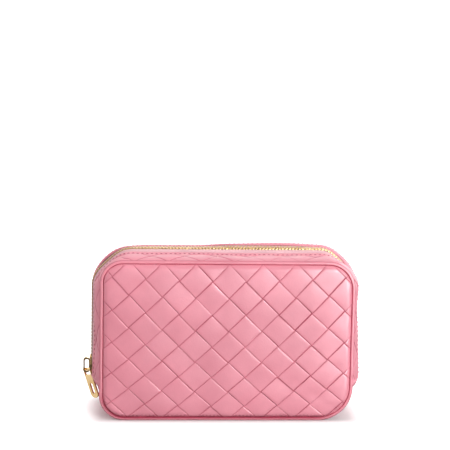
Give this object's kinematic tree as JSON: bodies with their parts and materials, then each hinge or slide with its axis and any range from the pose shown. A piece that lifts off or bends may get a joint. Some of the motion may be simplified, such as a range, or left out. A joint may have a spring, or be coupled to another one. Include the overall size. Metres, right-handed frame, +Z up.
{
  "type": "makeup bag",
  "caption": "Soft box-shaped makeup bag in woven leather with piped edges and a metal zip running over the top and down both sides.",
  "frame": {"origin": "centre of the flat base, on the surface that the bag stands on", "axes": "+X to the bag's right as its front is seen, +Y from its front to its back, +Z up"},
  "size_m": [0.2082, 0.066, 0.1257],
  "materials": {
    "woven_leather": "satin",
    "piping_leather": "satin",
    "core": "matte",
    "board": "matte",
    "lining": "matte",
    "zip_tape": "matte",
    "gold_metal": "polished"
  },
  "bodies": {
    "back_shell": {"back_panel": "woven_leather", "back_padding": "core", "back_lining": "lining", "back_piping": "piping_leather", "back_piping_cord": "core", "back_zip_strip": "woven_leather", "back_strip_lining": "lining", "back_zip_tape": "zip_tape", "back_zip_teeth": "gold_metal", "back_top_stop": "gold_metal", "bottom_stop": "gold_metal", "lower_gusset": "woven_leather", "lower_gusset_lining": "lining", "base_stiffener": "board", "slip_pocket": "lining", "pocket_binding": "piping_leather"},
    "front_shell": {"front_panel": "woven_leather", "front_padding": "core", "front_lining": "lining", "front_piping": "piping_leather", "front_piping_cord": "core", "front_zip_strip": "woven_leather", "front_strip_lining": "lining", "front_zip_tape": "zip_tape", "front_zip_teeth": "gold_metal", "front_top_stop": "gold_metal"},
    "slider": {"slider_body": "gold_metal", "slider_bridge": "gold_metal"},
    "pull": {"pull_tab": "gold_metal"}
  },
  "joints": [
    {"name": "front_opening", "type": "hinge", "parent": "back_shell", "child": "front_shell", "pos_m": [0, -0.03, 0.0016], "axis": [1, 0, 0], "range_deg": [0, 40], "deforming": ["front_zip_teeth", "back_zip_teeth", "front_top_stop"]},
    {"name": "slider_travel", "type": "slide", "parent": "back_shell", "child": "slider", "axis": [0, 0, 1], "range_m": [0, 0.054], "deforming": ["front_zip_teeth", "back_zip_teeth"]},
    {"name": "pull_swing", "type": "hinge", "parent": "slider", "child": "pull", "pos_m": [-0.1044, 0, 0.032], "axis": [-0.342, 0.9397, 0], "range_deg": [0, 130]}
  ],
  "couplings": [
    {"joint": "pull_swing", "follows": "slider_travel", "rad_per_m": 42}
  ]
}
